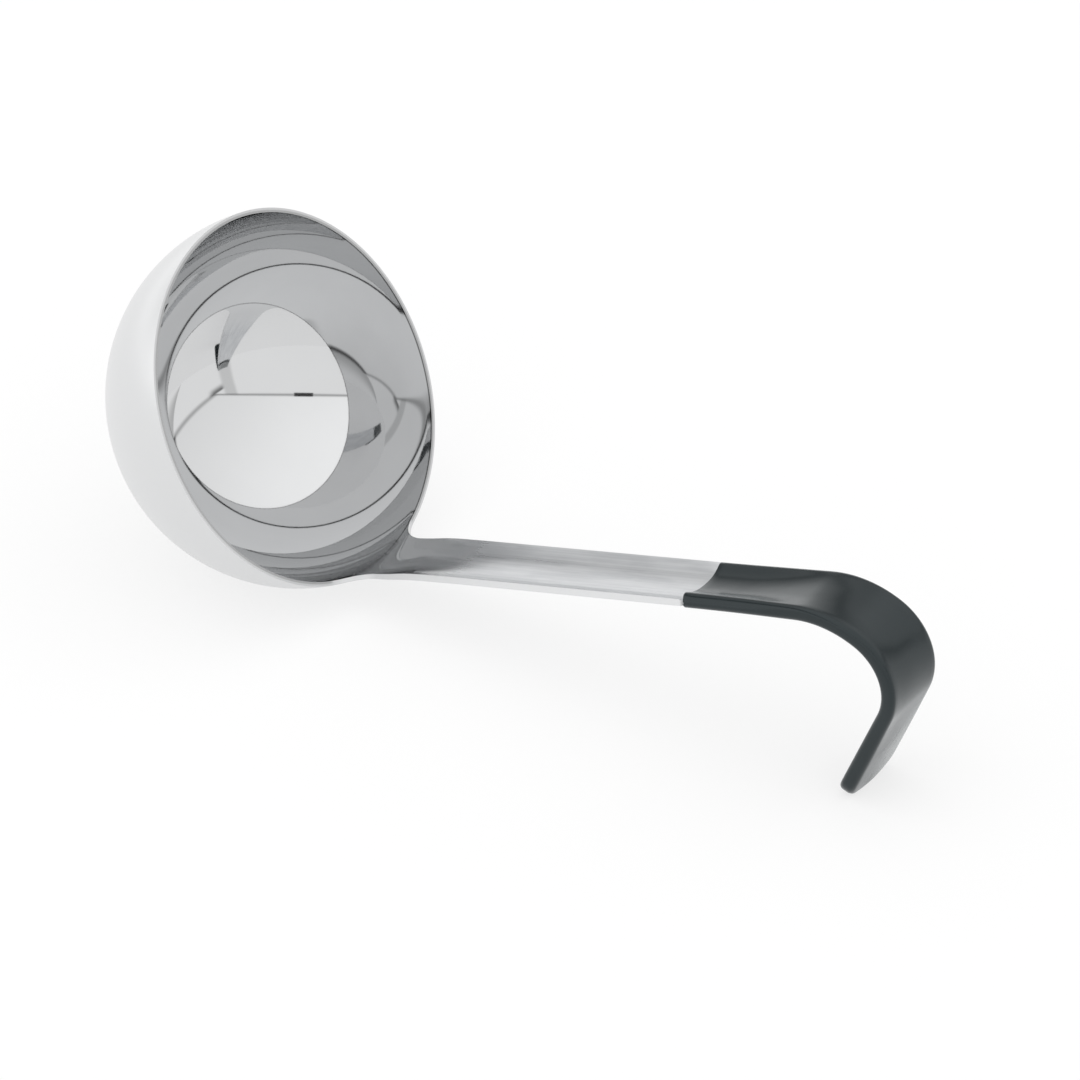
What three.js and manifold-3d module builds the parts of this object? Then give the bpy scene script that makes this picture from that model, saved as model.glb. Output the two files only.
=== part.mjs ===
// A short-handled serving ladle: one pressed steel sheet (bowl, strap and hooked tang) and a soft vinyl grip
// dipped over the hook. Millimetres, Z up. It lies as photographed, on the bowl's side and the hook's tip,
// with the handle towards +X and the floor at z = 0.
import * as THREE from 'three';
import { mergeVertices } from 'three/addons/utils/BufferGeometryUtils.js';
import Module from 'manifold-3d';

const wasm = await Module();
wasm.setup();

// Bowl: a hemisphere that holds about 8 fl oz to the brim
const RIM_RADIUS = 49.6;
const BOWL_WALL = 1.2;
const LIP_RISE = 0.4;

// Strap: the sheet that leaves the rim, leans outward and runs to the hook
const STRAP_SHEET = 1.7;
const STRAP_WIDTH = 20.7;
const SHEET_EDGE = 0.25;
const CHANNEL_DEPTH = 2.2;
const CHANNEL_RISE = 0.4;
const CHANNEL_POWER = 2.4;
const NECK_FILLET = 8;
const NECK_LENGTH = 22.1;
const NECK_FLATTEN = 14;
const STRAP_LEAN = 14.4;
const RUN_LENGTH = 115.6;

// Hook: an easy bend, a tight bend and a straight leg, turned away from the bowl's opening
const EASY_RADIUS = 27.7;
const EASY_ANGLE = 39;
const TIGHT_RADIUS = 15.2;
const TIGHT_ANGLE = 88;
const LEG_LENGTH = 28;
const HOOK_DISH = 0.33;
const TIP_CORNER = 3.6;

// Grip: dipped vinyl over the tang
const GRIP_START = 105;
const GRIP_WALL = 0.95;
const GRIP_CLEARANCE = 0.15;
const GRIP_WIDTH = 19.4;
const HOOK_WIDTH = 21;
const GRIP_LIP = 0.4;
const SHOULDER_LENGTH = 0.8;

const rad = THREE.MathUtils.degToRad;
const smooth = (value, from, to) => THREE.MathUtils.smoothstep(value, from, to);

// The strap's line from the rim: lengths and curvatures of its pieces, in the plane of symmetry
const wallMiddle = RIM_RADIUS - BOWL_WALL / 2;
const pieces = [
  { length: NECK_LENGTH, curve: rad(STRAP_LEAN) / NECK_LENGTH },
  { length: RUN_LENGTH, curve: 0 },
  { length: EASY_RADIUS * rad(EASY_ANGLE), curve: 1 / EASY_RADIUS },
  { length: TIGHT_RADIUS * rad(TIGHT_ANGLE), curve: 1 / TIGHT_RADIUS },
  { length: LEG_LENGTH, curve: 0 },
];
const bendStart = NECK_LENGTH + RUN_LENGTH;
const bendMiddle = bendStart + pieces[2].length;
const bendEnd = bendMiddle + pieces[3].length;
const lineEnd = bendEnd + LEG_LENGTH;

// Place on the strap's line: along = out of the bowl's opening, drop = from the bowl's axis towards the strap
function place(distance) {
  let along = 0;
  let drop = wallMiddle;
  let turn = 0;
  let left = distance;
  for (const piece of pieces) {
    const last = piece === pieces[pieces.length - 1];
    const step = last ? left : Math.min(left, piece.length);
    const next = turn + piece.curve * step;
    if (piece.curve === 0) {
      along += Math.cos(turn) * step;
      drop += Math.sin(turn) * step;
    } else {
      along += (Math.sin(next) - Math.sin(turn)) / piece.curve;
      drop -= (Math.cos(next) - Math.cos(turn)) / piece.curve;
    }
    turn = next;
    left -= step;
    if (left <= 0) break;
  }
  return { along, drop, turn };
}

// Half the sheet's width: the tang under the grip, and the strap with its fillets at the rim
const gripBuild = GRIP_WALL + GRIP_CLEARANCE;
const tangStartHalf = GRIP_WIDTH / 2 - gripBuild;
const tangHookHalf = HOOK_WIDTH / 2 - gripBuild;
const shoulderEnd = GRIP_START - GRIP_CLEARANCE;
const shoulderStart = shoulderEnd - SHOULDER_LENGTH;
function plainHalf(distance) {
  if (distance >= shoulderEnd) {
    return THREE.MathUtils.lerp(tangStartHalf, tangHookHalf, smooth(distance, GRIP_START, bendMiddle));
  }
  const step = Math.max(0, distance - shoulderStart) / SHOULDER_LENGTH;
  return THREE.MathUtils.lerp(STRAP_WIDTH / 2, tangStartHalf, step);
}
function filletAt(distance) {
  const short = NECK_FILLET - Math.min(NECK_FILLET, Math.max(0, distance));
  return NECK_FILLET - Math.sqrt(NECK_FILLET ** 2 - short ** 2);
}
function sheetOffset(distance) {
  const grown = smooth(distance, 0, NECK_LENGTH);
  return THREE.MathUtils.lerp(BOWL_WALL * 0.42, STRAP_SHEET / 2, grown);
}

// The sheet's middle line across the strap, as a rise towards the bowl's axis at a distance from the centre line.
// It follows the bowl's wall at the rim, becomes a shallow channel, and flattens out through the hook.
function riseAcross(distance, across) {
  const half = plainHalf(distance);
  const sag = wallMiddle - Math.sqrt(wallMiddle ** 2 - half ** 2);
  const grown = smooth(distance, 0, NECK_LENGTH + NECK_FLATTEN);
  const flat = smooth(distance, bendStart - NECK_FLATTEN, bendMiddle);
  const channel = THREE.MathUtils.lerp(sag, CHANNEL_DEPTH, grown);
  const depth = THREE.MathUtils.lerp(channel, HOOK_DISH, flat);
  const neckEdge = THREE.MathUtils.lerp(sag, CHANNEL_RISE * grown, smooth(distance, 0, NECK_FLATTEN));
  const edge = THREE.MathUtils.lerp(neckEdge, 0, flat);
  const power = THREE.MathUtils.lerp(2, CHANNEL_POWER, grown);
  return edge - depth * (1 - (Math.abs(across) / half) ** power);
}

// One ring of points round the sheet: half the width, half the thickness and the radius of its four corners
const ACROSS = 8;
const SIDE = 4;
function ring(distance, half, thick, radius) {
  const at = place(distance);
  const points = [];
  const add = (across, rise) => {
    points.push(new THREE.Vector3(
      at.along + Math.sin(at.turn) * rise,
      across,
      -(at.drop - Math.cos(at.turn) * rise),
    ));
  };
  const middle = (across) => {
    const rise = riseAcross(distance, across);
    const slope = (riseAcross(distance, across + 0.01) - riseAcross(distance, across - 0.01)) / 0.02;
    return { rise, angle: Math.atan(slope) };
  };
  const face = (across, offset) => {
    const { rise, angle } = middle(across);
    add(across - Math.sin(angle) * offset, rise + Math.cos(angle) * offset);
  };
  const side = (sign) => {
    const { rise, angle } = middle(sign * (half - radius));
    for (const [turn, up] of [[45, 1], [0, 1], [0, -1], [-45, -1]]) {
      const out = sign * radius * Math.cos(rad(turn));
      const lift = sign * up * (thick - radius) + sign * radius * Math.sin(rad(turn));
      add(
        sign * (half - radius) + out * Math.cos(angle) - lift * Math.sin(angle),
        rise + out * Math.sin(angle) + lift * Math.cos(angle),
      );
    }
  };
  const steps = Array.from({ length: ACROSS + 1 }, (_, i) => (half - radius) * ((2 * i) / ACROSS - 1));
  for (const across of steps) face(across, thick);
  side(1);
  for (const across of steps) face(-across, -thick);
  side(-1);
  return points;
}

// A closed skin through a row of rings
function loft(rings) {
  const count = rings[0].length;
  const positions = rings.flat().flatMap((p) => [p.x, p.y, p.z]);
  const index = [];
  for (let r = 0; r + 1 < rings.length; r += 1) {
    for (let i = 0; i < count; i += 1) {
      const a = r * count + i;
      const b = r * count + ((i + 1) % count);
      index.push(a, b, b + count, a, b + count, a + count);
    }
  }
  const opposite = (i) => (2 * count - SIDE - 1 - i) % count;
  const cap = (base, flip) => {
    const beyond = SIDE / 2;
    for (let i = -beyond; i < ACROSS + beyond; i += 1) {
      const pair = [i, i + 1, opposite(i + 1), opposite(i)].map((k) => base + ((k + count) % count));
      const corners = flip ? [0, 2, 1, 0, 3, 2] : [0, 1, 2, 0, 2, 3];
      for (const corner of corners) index.push(pair[corner]);
    }
  };
  cap(0, true);
  cap((rings.length - 1) * count, false);
  const geometry = new THREE.BufferGeometry();
  geometry.setAttribute('position', new THREE.Float32BufferAttribute(positions, 3));
  geometry.setIndex(index);
  return geometry;
}

// Closed solids for joining and cutting
function solid(geometry) {
  const bare = new THREE.BufferGeometry();
  bare.setAttribute('position', geometry.getAttribute('position'));
  bare.setIndex(geometry.getIndex());
  const merged = mergeVertices(bare, 1e-4);
  const corner = merged.getIndex().array;
  const kept = [];
  for (let i = 0; i < corner.length; i += 3) {
    const [a, b, c] = [corner[i], corner[i + 1], corner[i + 2]];
    if (a !== b && b !== c && c !== a) kept.push(a, b, c);
  }
  const spots = merged.getAttribute('position');
  const at = (i) => new THREE.Vector3().fromBufferAttribute(spots, i);
  let volume = 0;
  for (let i = 0; i < kept.length; i += 3) {
    volume += at(kept[i]).dot(at(kept[i + 1]).cross(at(kept[i + 2])));
  }
  if (volume < 0) kept.reverse();
  const mesh = new wasm.Mesh({
    numProp: 3,
    vertProperties: new Float32Array(spots.array),
    triVerts: new Uint32Array(kept),
  });
  return new wasm.Manifold(mesh);
}
function skin(body) {
  const mesh = body.getMesh();
  const geometry = new THREE.BufferGeometry();
  geometry.setAttribute('position', new THREE.Float32BufferAttribute(mesh.vertProperties, 3));
  geometry.setIndex(Array.from(mesh.triVerts));
  geometry.computeVertexNormals();
  return geometry;
}

// Distances along the strap's line at which rings stand
function span(from, to, steps) {
  return Array.from({ length: steps }, (_, i) => from + ((to - from) * i) / steps);
}
const hookStations = [
  ...span(bendStart, bendMiddle, 5),
  ...span(bendMiddle, bendEnd, 10),
  ...span(bendEnd, lineEnd - TIP_CORNER, 3),
];
const gripStations = [...span(GRIP_START + GRIP_LIP, bendStart, 5), ...hookStations];

// The hook's end: rounded corners across the sheet, then a rounded edge, both grown with the skin round the tang
function tipRings(grown) {
  const thick = STRAP_SHEET / 2 + grown;
  const corner = TIP_CORNER + grown;
  const edge = SHEET_EDGE + grown;
  const past = [
    ...[0, 25, 45, 62].map((a) => TIP_CORNER * Math.sin(rad(a))),
    ...[0, 30, 60, 80].map((a) => corner - edge + edge * Math.sin(rad(a))),
  ];
  return past.map((ahead) => {
    const short = edge - Math.sqrt(edge ** 2 - Math.max(0, ahead - (corner - edge)) ** 2);
    const half = tangHookHalf - TIP_CORNER + Math.sqrt(corner ** 2 - ahead ** 2);
    return ring(lineEnd - TIP_CORNER + ahead, half, thick - short, Math.min(edge, thick - short));
  });
}
function tangRings(grown) {
  return gripStations.map((s) => ring(s, plainHalf(s) + grown, STRAP_SHEET / 2 + grown, SHEET_EDGE + grown));
}

// Bowl shell, turned about its axis and laid along +X
function bowlShell() {
  const STEPS = 14;
  const profile = [];
  for (let i = 0; i <= STEPS; i += 1) {
    const a = (Math.PI / 2) * (i / STEPS);
    profile.push(new THREE.Vector2(RIM_RADIUS * Math.sin(a), -RIM_RADIUS * Math.cos(a)));
  }
  for (const [inward, rise] of [[0.15, 0.7], [0.5, 1], [0.85, 0.7]]) {
    profile.push(new THREE.Vector2(RIM_RADIUS - BOWL_WALL * inward, LIP_RISE * rise));
  }
  for (let i = STEPS; i >= 0; i -= 1) {
    const a = (Math.PI / 2) * (i / STEPS);
    const inner = RIM_RADIUS - BOWL_WALL;
    profile.push(new THREE.Vector2(inner * Math.sin(a), -inner * Math.cos(a)));
  }
  profile[0].x = 0;
  profile[profile.length - 1].x = 0;
  return new THREE.LatheGeometry(profile, 72).rotateZ(-Math.PI / 2);
}

// Strap and tang, from inside the bowl's wall to the hook's tip
const ROOT_DEPTH = 2;
const strapStations = [
  ...span(0, NECK_FILLET, 6),
  ...span(NECK_FILLET, NECK_LENGTH + NECK_FLATTEN, 7),
  ...span(NECK_LENGTH + NECK_FLATTEN, shoulderStart, 5),
  shoulderStart,
  shoulderEnd,
];
const rimEdge = Math.min(SHEET_EDGE, BOWL_WALL * 0.2);
const strapRings = strapStations.map((s) => ring(s, plainHalf(s) + filletAt(s), sheetOffset(s), rimEdge));
const rootRing = ring(0, plainHalf(0) + filletAt(0), BOWL_WALL * 0.3, rimEdge);
for (const point of rootRing) point.x -= ROOT_DEPTH;
const strap = loft([rootRing, ...strapRings, ...tangRings(0), ...tipRings(0)]);

// Grip: the vinyl's outside, less the tang's space
const outer = STRAP_SHEET / 2 + gripBuild;
const lipSize = gripBuild - GRIP_LIP;
const gripLip = ring(GRIP_START, tangStartHalf + lipSize, STRAP_SHEET / 2 + lipSize, SHEET_EDGE + lipSize);
const mouthHalf = tangStartHalf + GRIP_CLEARANCE;
const mouthRing = ring(GRIP_START, mouthHalf, STRAP_SHEET / 2 + GRIP_CLEARANCE, SHEET_EDGE + GRIP_CLEARANCE);
const mouthPlace = place(GRIP_START);
for (const point of mouthRing) {
  point.x -= Math.cos(mouthPlace.turn);
  point.z += Math.sin(mouthPlace.turn);
}
const gripOutside = loft([gripLip, ...tangRings(gripBuild), ...tipRings(gripBuild)]);
const gripInside = loft([mouthRing, ...tangRings(GRIP_CLEARANCE), ...tipRings(GRIP_CLEARANCE)]);

function finish(color, roughness, metalness) {
  return new THREE.MeshStandardMaterial({ color, roughness, metalness });
}
function named(name, geometry, material) {
  const mesh = new THREE.Mesh(geometry, material);
  mesh.name = name;
  return mesh;
}

const steel = solid(bowlShell()).add(solid(strap));
const vinyl = solid(gripOutside).subtract(solid(gripInside));

// Laid down so that the bowl's side and the hook's tip both touch the floor
const tip = place(lineEnd);
const tipRise = riseAcross(lineEnd, 0);
const tipAlong = tip.along + Math.sin(tip.turn) * tipRise;
const tipDrop = tip.drop - Math.cos(tip.turn) * tipRise;
const reach = Math.asin((RIM_RADIUS - outer) / Math.hypot(tipAlong, tipDrop));
const tilt = Math.atan2(tipDrop, tipAlong) - reach;

const laid = new THREE.Matrix4().makeRotationY(-tilt);
const steelSkin = skin(steel).applyMatrix4(laid);
const vinylSkin = skin(vinyl).applyMatrix4(laid);
steelSkin.computeBoundingBox();
vinylSkin.computeBoundingBox();
const box = steelSkin.boundingBox.clone().union(vinylSkin.boundingBox);
const middle = box.getCenter(new THREE.Vector3());
for (const geometry of [steelSkin, vinylSkin]) {
  geometry.translate(-middle.x, -middle.y, -box.min.z);
}

const ladle = new THREE.Group();
ladle.name = 'ladle';
ladle.add(named('pressed_steel_body', steelSkin, finish(0xd4d8da, 0.2, 1)));
ladle.add(named('vinyl_grip', vinylSkin, finish(0x2b2e30, 0.4, 0)));

export default ladle;
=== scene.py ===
import math

import bmesh
import bpy
from mathutils import Matrix, Vector


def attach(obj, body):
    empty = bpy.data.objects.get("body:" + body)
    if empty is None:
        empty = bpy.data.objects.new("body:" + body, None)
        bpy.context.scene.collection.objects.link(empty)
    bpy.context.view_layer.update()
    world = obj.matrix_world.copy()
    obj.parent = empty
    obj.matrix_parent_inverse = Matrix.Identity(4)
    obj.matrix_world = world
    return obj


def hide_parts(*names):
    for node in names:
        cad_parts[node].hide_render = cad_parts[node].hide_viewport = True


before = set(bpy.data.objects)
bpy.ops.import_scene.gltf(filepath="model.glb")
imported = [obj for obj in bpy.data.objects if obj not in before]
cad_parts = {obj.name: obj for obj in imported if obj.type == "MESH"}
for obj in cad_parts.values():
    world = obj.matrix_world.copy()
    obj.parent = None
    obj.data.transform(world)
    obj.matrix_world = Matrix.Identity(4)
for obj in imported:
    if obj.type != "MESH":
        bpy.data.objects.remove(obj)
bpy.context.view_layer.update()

# Lengths of the part in millimetres, and its angles, as its source has them or works them out
WALL_MIDDLE = 49.0
BOWL_WALL = 1.2
STRAP_SHEET = 1.7
STRAP_HALF = 10.35
CHANNEL_DEPTH = 2.2
CHANNEL_RISE = 0.4
CHANNEL_POWER = 2.4
NECK_FILLET = 8.0
NECK_LENGTH = 22.1
NECK_FLATTEN = 14.0
LEAN = math.radians(14.4)
RUN_LENGTH = 115.6
EASY_RADIUS, EASY_ANGLE = 27.7, math.radians(39)
TIGHT_RADIUS, TIGHT_ANGLE = 15.2, math.radians(88)
LEG_LENGTH = 28.0
HOOK_DISH = 0.33
TIP_CORNER = 3.6
SHEET_EDGE = 0.25
GRIP_START = 105.0
GRIP_WALL = 0.95
GRIP_BUILD = 1.1
TANG_START_HALF = 8.6
TANG_HOOK_HALF = 9.4

# Sizes that the scene sets for itself: where the neck's rows leave the rim, the channel's end before the hook, the
# tang's shoulder under the grip, the rounding of the sheet's and the grip's edges, the share of the tip's thickness
# that its sides' rounding takes, the vinyl's crown on the hook's leg, the bowl's steps, and a length too small to see
NECK_LEAD = 1.0
ROW_ANGLE = math.radians(16)
FLATTEN_START, FLATTEN_END = 117.0, 150.0
SHOULDER_END = 104.95
SHOULDER_LENGTH = 0.25
SHEET_ROUNDING = 0.3
GRIP_LIP = 0.35
TIP_ROUND = 0.95
GRIP_CROWN = 0.9
CROWN_BEFORE_LEG, CROWN_ON_LEG = 6, 16
BOWL_RINGS, BOWL_STEPS = 48, 360
SMALL = 0.01

# Where the bowl's centre lies and how far its axis is raised
TILT = math.radians(30.6177)
BOWL_CENTRE = Vector((-0.068119, 0, 0.0496))
LAID = Matrix.Translation(BOWL_CENTRE) @ Matrix.Rotation(-TILT, 4, "Y") @ Matrix.Scale(0.001, 4)

BEND_START = NECK_LENGTH + RUN_LENGTH
BEND_MIDDLE = BEND_START + EASY_RADIUS * EASY_ANGLE
BEND_END = BEND_MIDDLE + TIGHT_RADIUS * TIGHT_ANGLE
LINE_END = BEND_END + LEG_LENGTH


def lerp(a, b, t):
    return a + (b - a) * t


def smooth(value, low, high):
    t = min(1, max(0, (value - low) / (high - low)))
    return t * t * (3 - 2 * t)


def spread(low, high, count):
    """Even steps from low up to but without high."""
    return [lerp(low, high, i / count) for i in range(count)]


# The strap's line

def place(distance):
    """Distance along the bowl's axis, distance from the axis and turn of the strap's line."""
    along, drop, turn, left = 0, WALL_MIDDLE, 0, distance
    pieces = [(NECK_LENGTH, LEAN / NECK_LENGTH), (RUN_LENGTH, 0), (EASY_RADIUS * EASY_ANGLE, 1 / EASY_RADIUS),
              (TIGHT_RADIUS * TIGHT_ANGLE, 1 / TIGHT_RADIUS), (math.inf, 0)]
    for length, curve in pieces:
        step = min(left, length)
        if curve:
            after = turn + curve * step
            along += (math.sin(after) - math.sin(turn)) / curve
            drop -= (math.cos(after) - math.cos(turn)) / curve
            turn = after
        else:
            along += math.cos(turn) * step
            drop += math.sin(turn) * step
        left -= step
    return along, drop, turn


def plain_half(s):
    """Half the sheet's width without the neck's fillets."""
    if s >= SHOULDER_END:
        return lerp(TANG_START_HALF, TANG_HOOK_HALF, smooth(s, GRIP_START, BEND_MIDDLE))
    return lerp(STRAP_HALF, TANG_START_HALF, max(0, s - SHOULDER_END + SHOULDER_LENGTH) / SHOULDER_LENGTH)


def rise_across(s, across):
    """The sheet's middle line across the strap, as a rise towards the bowl's axis."""
    half = plain_half(s)
    sag = WALL_MIDDLE - math.sqrt(WALL_MIDDLE ** 2 - half ** 2)
    grown = smooth(s, 0, NECK_LENGTH + NECK_FLATTEN)
    flat = smooth(s, FLATTEN_START, FLATTEN_END)
    depth = lerp(lerp(sag, CHANNEL_DEPTH, grown), HOOK_DISH, flat)
    edge = lerp(lerp(sag, CHANNEL_RISE * grown, smooth(s, 0, NECK_FLATTEN)), 0, flat)
    bowl_round = WALL_MIDDLE - math.sqrt(WALL_MIDDLE ** 2 - across ** 2) - sag * (across / half) ** 2
    return (edge - depth * (1 - (abs(across) / half) ** lerp(2, CHANNEL_POWER, grown))
            + bowl_round * (1 - smooth(s, 0, NECK_FILLET)))


def fillet_start(across):
    """Distance along the strap at which a fillet of the neck is this far from the strap's middle."""
    rest = min(1, max(0, 1 - (abs(across) - STRAP_HALF) / NECK_FILLET))
    return NECK_FILLET * (1 - math.sqrt(1 - rest ** 2))


def spot(s, across, offset=0):
    """A point of the sheet, offset from its middle towards the bowl's axis."""
    along, drop, turn = place(s)
    rise = rise_across(s, across)
    tip = math.atan((rise_across(s, across + SMALL) - rise_across(s, across - SMALL)) / (2 * SMALL))
    across -= math.sin(tip) * offset
    rise += math.cos(tip) * offset
    return Vector((along + math.sin(turn) * rise, across, math.cos(turn) * rise - drop))


# Mesh building

def next_row(bm, row, spots, closed=False):
    """Extrudes a row of vertices by its edges and puts the new row at its spots."""
    ends = row[1:] + row[:1] if closed else row[1:]
    made = bmesh.ops.extrude_edge_only(bm, edges=[bm.edges.get(pair) for pair in zip(row, ends)])["geom"]
    fresh = {item for item in made if isinstance(item, bmesh.types.BMVert)}
    new = [next(e.other_vert(v) for e in v.link_edges if e.other_vert(v) in fresh) for v in row]
    for vertex, where in zip(new, spots):
        vertex.co = where
    return new


def shown(bm, name, material):
    """Makes the mesh an object of the scene."""
    mesh = bpy.data.meshes.new(name)
    bm.to_mesh(mesh)
    bm.free()
    mesh.materials.append(material)
    made = bpy.data.objects.new(name, mesh)
    bpy.context.scene.collection.objects.link(made)
    return made


def piece(bm, name, node, material):
    """Lays the mesh down, makes its object and ties it to the frame."""
    bmesh.ops.recalc_face_normals(bm, faces=bm.faces)
    bmesh.ops.transform(bm, matrix=LAID, verts=bm.verts)
    for face in bm.faces:
        face.smooth = True
    made = shown(bm, name, material)
    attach(made, "root")
    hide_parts(node)
    return made


def rounded(made, width, segments, angle):
    """Rounds the edges that are sharper than an angle in degrees, and shades flat faces as flat."""
    bevel = made.modifiers.new("rounded edges", "BEVEL")
    bevel.width = width
    bevel.segments = segments
    bevel.limit_method = "ANGLE"
    bevel.angle_limit = math.radians(angle)
    made.modifiers.new("even shading", "WEIGHTED_NORMAL")


# Shader nodes

class Value:
    """A shader output that takes part in sums."""

    def __init__(self, shader, socket):
        self.shader, self.socket = shader, socket

    def sum(self, operation, *inputs):
        return self.shader.node("ShaderNodeMath", {"operation": operation}, dict(enumerate(inputs)))

    def __add__(self, other):
        return self.sum("ADD", self, other)

    def __sub__(self, other):
        return self.sum("SUBTRACT", self, other)

    def __rsub__(self, other):
        return self.sum("SUBTRACT", other, self)

    def __mul__(self, other):
        return self.sum("MULTIPLY", self, other)

    def __truediv__(self, other):
        return self.sum("DIVIDE", self, other)

    def __rtruediv__(self, other):
        return self.sum("DIVIDE", other, self)

    __radd__ = __add__
    __rmul__ = __mul__

    def at_least(self, other):
        return self.sum("MAXIMUM", self, other)

    def at_most(self, other):
        return self.sum("MINIMUM", self, other)

    def ramp(self, low, high):
        """0 below low, 1 above high, smooth between."""
        return self.shader.node("ShaderNodeMapRange", {"interpolation_type": "SMOOTHSTEP"},
                                {"Value": self, "From Min": low, "From Max": high})

    def band(self, low, full, last, high):
        """1 from full to last, 0 below low and above high, smooth between."""
        return self.ramp(low, full) * (1 - self.ramp(last, high))


class Shader:
    """A node tree with one way to make a node."""

    def __init__(self, owner):
        owner.use_nodes = True
        self.tree = owner.node_tree
        self.tree.nodes.clear()

    def node(self, kind, settings=(), inputs=(), output=0):
        """A node of a kind with its settings and its sockets' values or links, as one of its outputs."""
        made = self.tree.nodes.new(kind)
        for key, value in dict(settings).items():
            setattr(made, key, value)
        for key, value in dict(inputs).items():
            if isinstance(value, Value):
                self.tree.links.new(value.socket, made.inputs[key])
            else:
                made.inputs[key].default_value = value
        return Value(self, made.outputs[output]) if made.outputs else None

    def local(self, turn, scale=(1, 1, 1)):
        """Object coordinates about the bowl's centre, turned about Y, then scaled."""
        where = self.node("ShaderNodeTexCoord", output="Object")
        moved = self.node("ShaderNodeVectorMath", {"operation": "SUBTRACT"}, {0: where, 1: BOWL_CENTRE})
        turned = self.node("ShaderNodeMapping", {}, {"Vector": moved, "Rotation": (0, turn, 0)})
        return self.node("ShaderNodeVectorMath", {"operation": "MULTIPLY"}, {0: turned, 1: scale})

    def parts(self, vector, axes):
        """A vector's numbers along some of its axes."""
        return [self.node("ShaderNodeSeparateXYZ", {}, {"Vector": vector}, axis) for axis in axes]

    def noise(self, vector, scale, detail, roughness):
        return self.node("ShaderNodeTexNoise", {}, {"Vector": vector, "Scale": scale, "Detail": detail,
                                                    "Roughness": roughness})

    def mix(self, factor, a, b):
        """Mixed colour."""
        return self.node("ShaderNodeMix", {"data_type": "RGBA"}, {0: factor, 6: a, 7: b}, 2)

    def bump(self, height, strength, distance):
        return self.node("ShaderNodeBump", {}, {"Height": height, "Strength": strength, "Distance": distance})

    def surface(self, inputs):
        lit = self.node("ShaderNodeBsdfPrincipled", {}, inputs)
        self.node("ShaderNodeOutputMaterial", {}, {"Surface": lit})


# Finishes: colours, then the materials, whose distances along the bowl's axis are in metres

MIRROR_STEEL, SATIN_STEEL = (0.605, 0.61, 0.615, 1), (0.74, 0.745, 0.75, 1)
STREAK_DARK, STREAK_PALE = (0.53, 0.54, 0.555, 1), (0.71, 0.72, 0.73, 1)
# The second colour on the next line is a painted dark reflection: a dark line just under the rim inside the bowl
CUT_EDGE, RIM_DARK_REFLECTION = (0.68, 0.685, 0.69, 1), (0.2, 0.2, 0.2, 1)
VINYL_DARK, VINYL_PALE = (0.005, 0.009, 0.0105, 1), (0.008, 0.013, 0.0145, 1)


def polished_steel():
    """Mirror-polished inside the bowl, softer outside and on cut edges, satin lengthwise lines on the strap."""
    material = bpy.data.materials.new("polished steel")
    m = Shader(material)

    # Where the strap and its polished neck begin, the inside of the bowl, the painted dark reflection line under the
    # rim and the cut edges
    along, across, lift = m.parts(m.local(TILT), "XYZ")
    inward = m.node("ShaderNodeCombineXYZ", {}, {"X": along.at_most(0), "Y": across, "Z": lift})
    reach = m.node("ShaderNodeVectorMath", {"operation": "LENGTH"}, {0: inward}, "Value")
    strap = along.ramp(0.006, 0.034)
    neck = along.ramp(0.0005, 0.004)
    inside = neck + (1 - neck) * (1 - reach.ramp(0.0488, 0.0492))
    # Mask of the painted dark reflection: a thin band just under the rim on the inside of the bowl
    painted_rim_reflection = inside * along.band(-0.0006, -0.0004, -0.0001, 0.0001)
    facing = m.node("ShaderNodeMapping", {"vector_type": "NORMAL"},
                    {"Vector": m.node("ShaderNodeNewGeometry", output="Normal"), "Rotation": (0, TILT, 0)})
    ahead, sideways = m.parts(facing, "XY")
    edge = along.ramp(-0.0004, -0.0001) * (ahead * ahead + sideways * sideways * neck).ramp(0.4, 0.65)

    # Lengthwise brushing and worn patches on the strap, spinning lines and smudges in the bowl
    brushed = m.noise(m.local(TILT - LEAN, (9, 900, 60)), scale=1.0, detail=4.0, roughness=0.6)
    spun = m.noise(m.local(TILT, (1500, 0, 0)), scale=1.0, detail=3.0, roughness=0.6)
    smudge = m.noise(m.local(0), scale=40.0, detail=3.0, roughness=0.55)
    patch = m.noise(m.local(TILT - LEAN, (60, 260, 60)), scale=1.0, detail=3.0, roughness=0.6)
    rough = strap * (0.22 + brushed * 0.16) + (1 - strap) * (0.28 - inside * 0.26 + spun * 0.015 + smudge * 0.02)
    rough = rough + edge * (0.34 - rough)
    height = strap * brushed + (1 - strap) * spun * 0.05
    tone = smudge * 0.4 + (1 - inside) * (1 - strap) * 1.2
    clean = m.mix(tone, MIRROR_STEEL, SATIN_STEEL)
    streaks = brushed.ramp(0.32, 0.68) * 0.55 + patch.ramp(0.32, 0.68) * 0.45
    worn = m.mix(streaks, STREAK_DARK, STREAK_PALE)
    colour = m.mix(edge, m.mix(strap, clean, worn), CUT_EDGE)
    # The painted dark reflection line under the rim goes over the steel's colour here
    m.surface({"Base Color": m.mix(painted_rim_reflection, colour, RIM_DARK_REFLECTION), "Metallic": 1.0,
               "Roughness": rough, "Normal": m.bump(height, strength=0.12, distance=0.0001)})
    return material


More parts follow.
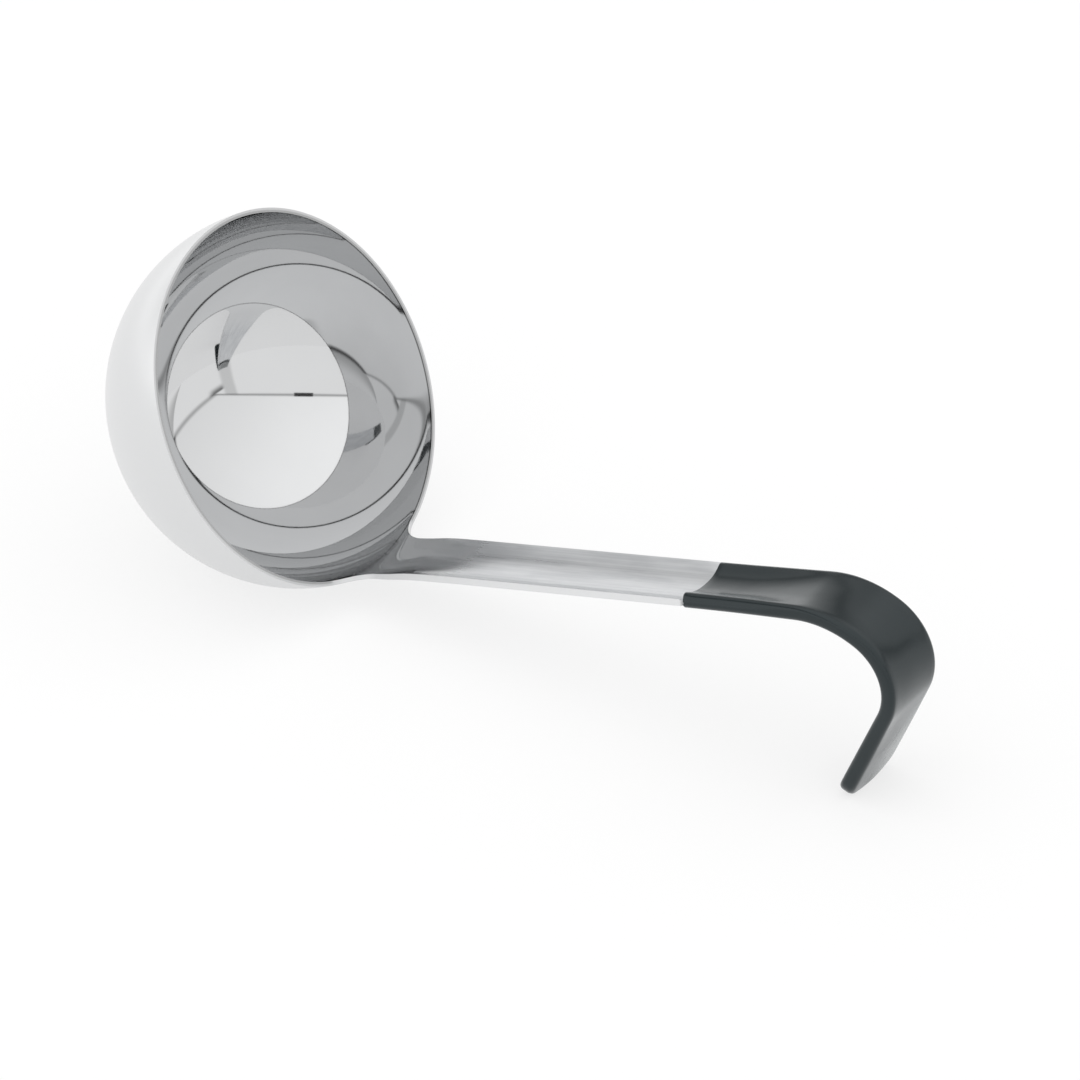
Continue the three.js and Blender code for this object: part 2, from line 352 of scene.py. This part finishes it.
def black_vinyl():
    """Dipped vinyl: near black, satin, with a fine orange peel, rubbed places and a slow waviness from the dip."""
    material = bpy.data.materials.new("black vinyl")
    m = Shader(material)
    slow = m.noise(m.local(TILT - LEAN), scale=90.0, detail=2.0, roughness=0.5)
    peel = m.noise(m.local(0), scale=1500.0, detail=2.0, roughness=0.5)
    scuff = m.noise(m.local(TILT - LEAN, (20, 160, 160)), scale=1.0, detail=4.0, roughness=0.65)
    rubbed = scuff.ramp(0.56, 0.76)
    m.surface({"Base Color": m.mix(slow, VINYL_DARK, VINYL_PALE),
               "Roughness": 0.16 + slow * 0.06 + rubbed * 0.08,
               "Specular IOR Level": 0.5, "Specular Tint": (0.88, 0.97, 1.0, 1),
               "Sheen Weight": 0.35, "Sheen Roughness": 0.3, "Sheen Tint": (0.93, 0.98, 1.0, 1),
               "Normal": m.bump(slow + peel * 0.06, strength=0.2, distance=0.0004)})
    return material


# Pressed steel body: the bowl's and strap's middle surface, thickened to sheet

def steel_body(material):
    bm = bmesh.new()
    pole = bm.verts.new((-WALL_MIDDLE, 0, 0))
    bmesh.ops.spin(bm, geom=[pole], cent=(0, 0, 0), axis=(0, -1, 0), angle=math.pi / 2, steps=BOWL_RINGS)
    bmesh.ops.spin(bm, geom=bm.verts[:] + bm.edges[:], cent=(0, 0, 0), axis=(1, 0, 0), angle=2 * math.pi,
                   steps=BOWL_STEPS, use_merge=True)
    bmesh.ops.remove_doubles(bm, verts=bm.verts, dist=SMALL)
    rim = [v for v in bm.verts if abs(v.co.x) < SMALL and v.co.z < 0 and abs(v.co.y) < STRAP_HALF + NECK_FILLET]
    width = WALL_MIDDLE * math.sin(ROW_ANGLE)
    row = sorted((v for v in rim if abs(v.co.y) < width + 0.1), key=lambda v: v.co.y)
    shares = [v.co.y / width for v in row]
    sheet = {v: 0 for v in bm.verts}

    # Neck: the rim leads into the fillets, which end the rows on quarter circles while their middle moves on evenly
    lead = fillet_start(width)
    for v in rim:
        middle = lerp(NECK_LEAD, lead, min(1, abs(v.co.y) / width) ** 3)
        v.co = spot(min(middle, fillet_start(v.co.y)), v.co.y)
    first = math.asin(1 - (width - STRAP_HALF) / NECK_FILLET)
    for share in spread(0, 1, 13)[1:] + [1]:
        a = lerp(first, math.pi / 2, share)
        middle, border = lerp(NECK_LEAD, NECK_FILLET, share), NECK_FILLET * (1 - math.cos(a))
        half = STRAP_HALF + NECK_FILLET * (1 - math.sin(a))
        row = next_row(bm, row, [spot(lerp(middle, border, abs(t) ** 3), t * half) for t in shares])
        sheet.update((v, smooth(middle, 0, NECK_LENGTH)) for v in row)
    distances = (spread(NECK_FILLET, 40, 17)[1:] + spread(40, SHOULDER_END - SHOULDER_LENGTH, 24)
                 + spread(SHOULDER_END - SHOULDER_LENGTH, GRIP_START, 3) + spread(GRIP_START, BEND_START, 10)
                 + spread(BEND_START, BEND_MIDDLE, 8) + spread(BEND_MIDDLE, BEND_END, 16)
                 + spread(BEND_END, LINE_END - TIP_CORNER, 6))
    for s in distances:
        row = next_row(bm, row, [spot(s, t * plain_half(s)) for t in shares])
        sheet.update((v, smooth(s, 0, NECK_LENGTH)) for v in row)
    for a in (math.radians(angle) for angle in (0, 20, 40, 60, 75)):
        ahead = TIP_CORNER * math.sin(a)
        half = TANG_HOOK_HALF - TIP_CORNER + TIP_CORNER * math.cos(a)
        row = next_row(bm, row, [spot(LINE_END - TIP_CORNER + ahead, t * half) for t in shares])
        sheet.update((v, 1) for v in row)

    bm.verts.index_update()
    weights = [lerp(BOWL_WALL / STRAP_SHEET, 1, sheet[v]) for v in bm.verts]
    body = piece(bm, "steel_body", "pressed_steel_body", material)
    group = body.vertex_groups.new(name="sheet")
    for index, weight in enumerate(weights):
        group.add([index], weight, "REPLACE")
    wall = body.modifiers.new("sheet thickness", "SOLIDIFY")
    wall.thickness = STRAP_SHEET / 1000
    wall.offset = 0
    wall.vertex_group = "sheet"
    rounded(body, SHEET_ROUNDING / 1000, segments=3, angle=55)


# Vinyl grip: a sleeve round the tang, closed at the hook's tip

def section(half, thick, corner):
    """Round the sheet's outside: pairs of distance across and offset from its middle."""
    flat = [(half - corner) * (i / 7 - 1) for i in range(15)]
    arc = [math.radians(a) for a in (18, 36, 54, 72, 90)]
    down = [(half - corner + corner * math.sin(a), thick - corner + corner * math.cos(a)) for a in arc]
    side = down + [(across, -offset) for across, offset in reversed(down)]
    top = [(across, thick) for across in flat]
    return top + side + [(-across, -offset) for across, offset in top + side]


def grip_spots(s, half, thick, corner):
    """The grip's outside at one distance, crowned on the hook's outer face, where the dip ran together."""
    found = []
    crown = GRIP_CROWN * smooth(s, BEND_END - CROWN_BEFORE_LEG, BEND_END + CROWN_ON_LEG)
    crown *= smooth(thick, 0, STRAP_SHEET / 2 + GRIP_BUILD)
    for across, offset in section(half, thick, corner):
        if offset > 0:
            offset += crown * (1 - (across / half) ** 2)
        inner = max(-half + corner, min(half - corner, across))
        middle, out = spot(s, inner), spot(s, inner, 1)
        sideways = (out - middle).cross(spot(s + SMALL, inner) - middle).normalized()
        if sideways.y < 0:
            sideways.negate()
        found.append(middle + (out - middle) * offset + sideways * (across - inner))
    return found


def vinyl_grip(material):
    bm = bmesh.new()
    grown = STRAP_SHEET / 2 + GRIP_BUILD
    edge = SHEET_EDGE + GRIP_BUILD
    count = len(section(1, 1, 0.5))
    row = bmesh.ops.create_circle(bm, segments=count, radius=1)["verts"]
    lip = [math.radians(a) for a in (0, 25, 50, 70, 90)]
    rows = [(GRIP_START + GRIP_LIP * (1 - math.cos(a)), GRIP_LIP * (math.sin(a) - 1)) for a in lip]
    rows += [(s, 0) for s in spread(GRIP_START + GRIP_LIP, BEND_START, 16)[1:] + spread(BEND_START, BEND_MIDDLE, 14)
             + spread(BEND_MIDDLE, BEND_END, 26) + spread(BEND_END, LINE_END - TIP_CORNER, 12)]
    lined = [grip_spots(s, plain_half(s) + GRIP_BUILD + d, grown + d, edge + d) for s, d in rows]
    corner = TIP_CORNER + GRIP_BUILD
    past = [corner * math.sin(math.radians(a)) for a in (0, 12, 24, 35, 44)]
    past += [corner - edge + edge * math.sin(math.radians(a)) for a in (15, 30, 45, 60, 72, 82)]
    for ahead in past:
        short = edge - math.sqrt(edge ** 2 - max(0, ahead - corner + edge) ** 2)
        half = TANG_HOOK_HALF - TIP_CORNER + math.sqrt(corner ** 2 - ahead ** 2)
        thick = grown - short
        lined.append(grip_spots(LINE_END - TIP_CORNER + ahead, half, thick, min(edge, TIP_ROUND * thick)))
    for vertex, where in zip(row, lined[0]):
        vertex.co = where
    for spots in lined[1:]:
        row = next_row(bm, row, spots, closed=True)
    bmesh.ops.contextual_create(bm, geom=row)
    grip = piece(bm, "vinyl_grip_skin", "vinyl_grip", material)
    wall = grip.modifiers.new("vinyl thickness", "SOLIDIFY")
    wall.thickness = GRIP_WALL / 1000
    wall.offset = -1


steel_body(polished_steel())
vinyl_grip(black_vinyl())


# Studio: a pale floor inside a light tent

WHITE, PAPER = (1, 1, 1, 1), (0.96, 0.96, 0.96, 1)
WHITE_SHARE = 0.7
FLOOR_HALF = 6
WALL_LIGHT, ROOF_LIGHT = 1.06, 1.1
NEVER_ZERO = 0.001

# The camera: its directions, its place, and its lens and sensor in millimetres
RIGHT = Vector((0.826232, 0.563243, 0.009865))
UP = Vector((-0.317678, 0.451403, 0.833856))
BACK = Vector((0.465211, -0.692093, 0.551893))
EYE = Vector((0.599933, -0.881218, 0.736729))
LENS, SENSOR = 167.93, 36

# The tent's walls: angle from the camera's side, steepness up to the top seam, the seam's width and depth
FRONT, RIGHT_WALL, REAR, LEFT_WALL = range(4)
WALLS = [(0, 0.60, 0.035, 0.55), (72, 0.306, 0.04, 0.45), (170, 0.69, 0.14, 0.85), (-105, 0.62, 0.22, 0.9)]


def floor():
    bm = bmesh.new()
    bmesh.ops.create_grid(bm, x_segments=1, y_segments=1, size=FLOOR_HALF)
    material = bpy.data.materials.new("floor")
    m = Shader(material)
    seen = m.node("ShaderNodeLightPath", output="Is Camera Ray")
    for kind in ("Glossy", "Transmission"):
        seen = seen.at_least(m.node("ShaderNodeLightPath", output=f"Is {kind} Ray"))
    paper = m.node("ShaderNodeBsdfDiffuse", {}, {"Color": PAPER})
    white = m.node("ShaderNodeEmission", {}, {"Color": WHITE, "Strength": 1.0})
    both = m.node("ShaderNodeMixShader", {}, {0: seen * WHITE_SHARE, 1: paper, 2: white})
    m.node("ShaderNodeOutputMaterial", {}, {"Surface": both})
    made = shown(bm, "floor", material)


def studio():
    world = bpy.data.worlds.new("studio")
    bpy.context.scene.world = world
    m = Shader(world)
    way = m.node("ShaderNodeTexCoord", output="Generated")
    side_way = Vector((RIGHT.x, RIGHT.y, 0)).normalized()
    ahead_way = Vector((BACK.x, BACK.y, 0)).normalized()

    def part(axis):
        return m.node("ShaderNodeVectorMath", {"operation": "DOT_PRODUCT"}, {0: way, 1: axis}, "Value")

    side, ahead, up = part(side_way), part(ahead_way), part((0, 0, 1)).at_least(0.002)
    steeps, above, seams = [], [], []
    for angle, top, width, depth in WALLS:
        toward = side * math.sin(math.radians(angle)) + ahead * math.cos(math.radians(angle))
        steep = up / toward.at_least(NEVER_ZERO)
        steeps.append(steep)
        above.append(steep.ramp(top - 0.01, top + 0.01))
        seams.append(steep.band(top - width, top, top, top + width) * depth)
    ceiling, dimmed = 1, 1
    for index, seam in enumerate(seams):
        ceiling = ceiling * above[index]
        for other in above[:index] + above[index + 1:]:
            seam = seam * other
        dimmed = dimmed * (1 - seam)

    # A clip on the front seam, the fold in the tent's right front corner and the shadow at its top
    sideways = side / ahead.at_least(NEVER_ZERO)
    clip = sideways.band(-0.15, -0.13, 0.09, 0.11) * steeps[FRONT].band(0.56, 0.575, 0.615, 0.63)
    fold = sideways.band(0.95, 1.05, 1.25, 1.4) * (1 - above[FRONT])
    corner = sideways.band(1.25, 1.4, 1.7, 2.2) * steeps[RIGHT_WALL].ramp(0.22, 0.3) * (1 - above[RIGHT_WALL])
    dimmed = dimmed * (1 - clip * 0.9) * (1 - fold * 0.25) * (1 - corner * 0.8)

    # The brighter left wall, the dimmer rear wall and the less lit part of the ceiling above it
    behind = side / (ahead * -1).at_least(NEVER_ZERO)
    unlit = steeps[REAR].band(0.7, 0.9, 1.8, 2.6) * behind.band(-3.0, -1.8, 0.2, 0.7)
    wall = (WALL_LIGHT + (1 - above[LEFT_WALL]) * 0.2
            - (1 - above[REAR]) * (0.02 + steeps[REAR].ramp(0.1, 0.6) * 0.4))
    roof = (ROOF_LIGHT + up * 0.14 - side * 0.12) * (1 - unlit * 0.3)
    shade = (ceiling * roof + (1 - ceiling) * wall) * dimmed
    seen = m.node("ShaderNodeLightPath", output="Is Camera Ray")
    lit = m.node("ShaderNodeBackground", {}, {"Color": WHITE, "Strength": shade})
    plain = m.node("ShaderNodeBackground", {}, {"Color": WHITE, "Strength": 1.0})
    both = m.node("ShaderNodeMixShader", {}, {0: seen, 1: lit, 2: plain})
    m.node("ShaderNodeOutputWorld", {}, {"Surface": both})


def camera():
    data = bpy.data.cameras.new("camera")
    data.lens = LENS
    data.sensor_width = SENSOR
    data.clip_end = 50
    made = bpy.data.objects.new("camera", data)
    turn = Matrix((RIGHT, UP, BACK)).transposed().to_4x4()
    made.matrix_world = Matrix.Translation(EYE) @ turn
    bpy.context.scene.collection.objects.link(made)
    bpy.context.scene.camera = made


floor()
studio()
camera()
bpy.context.scene.view_settings.view_transform = "Standard"
bpy.context.scene.cycles.max_bounces = 16
bpy.context.scene.cycles.glossy_bounces = 12
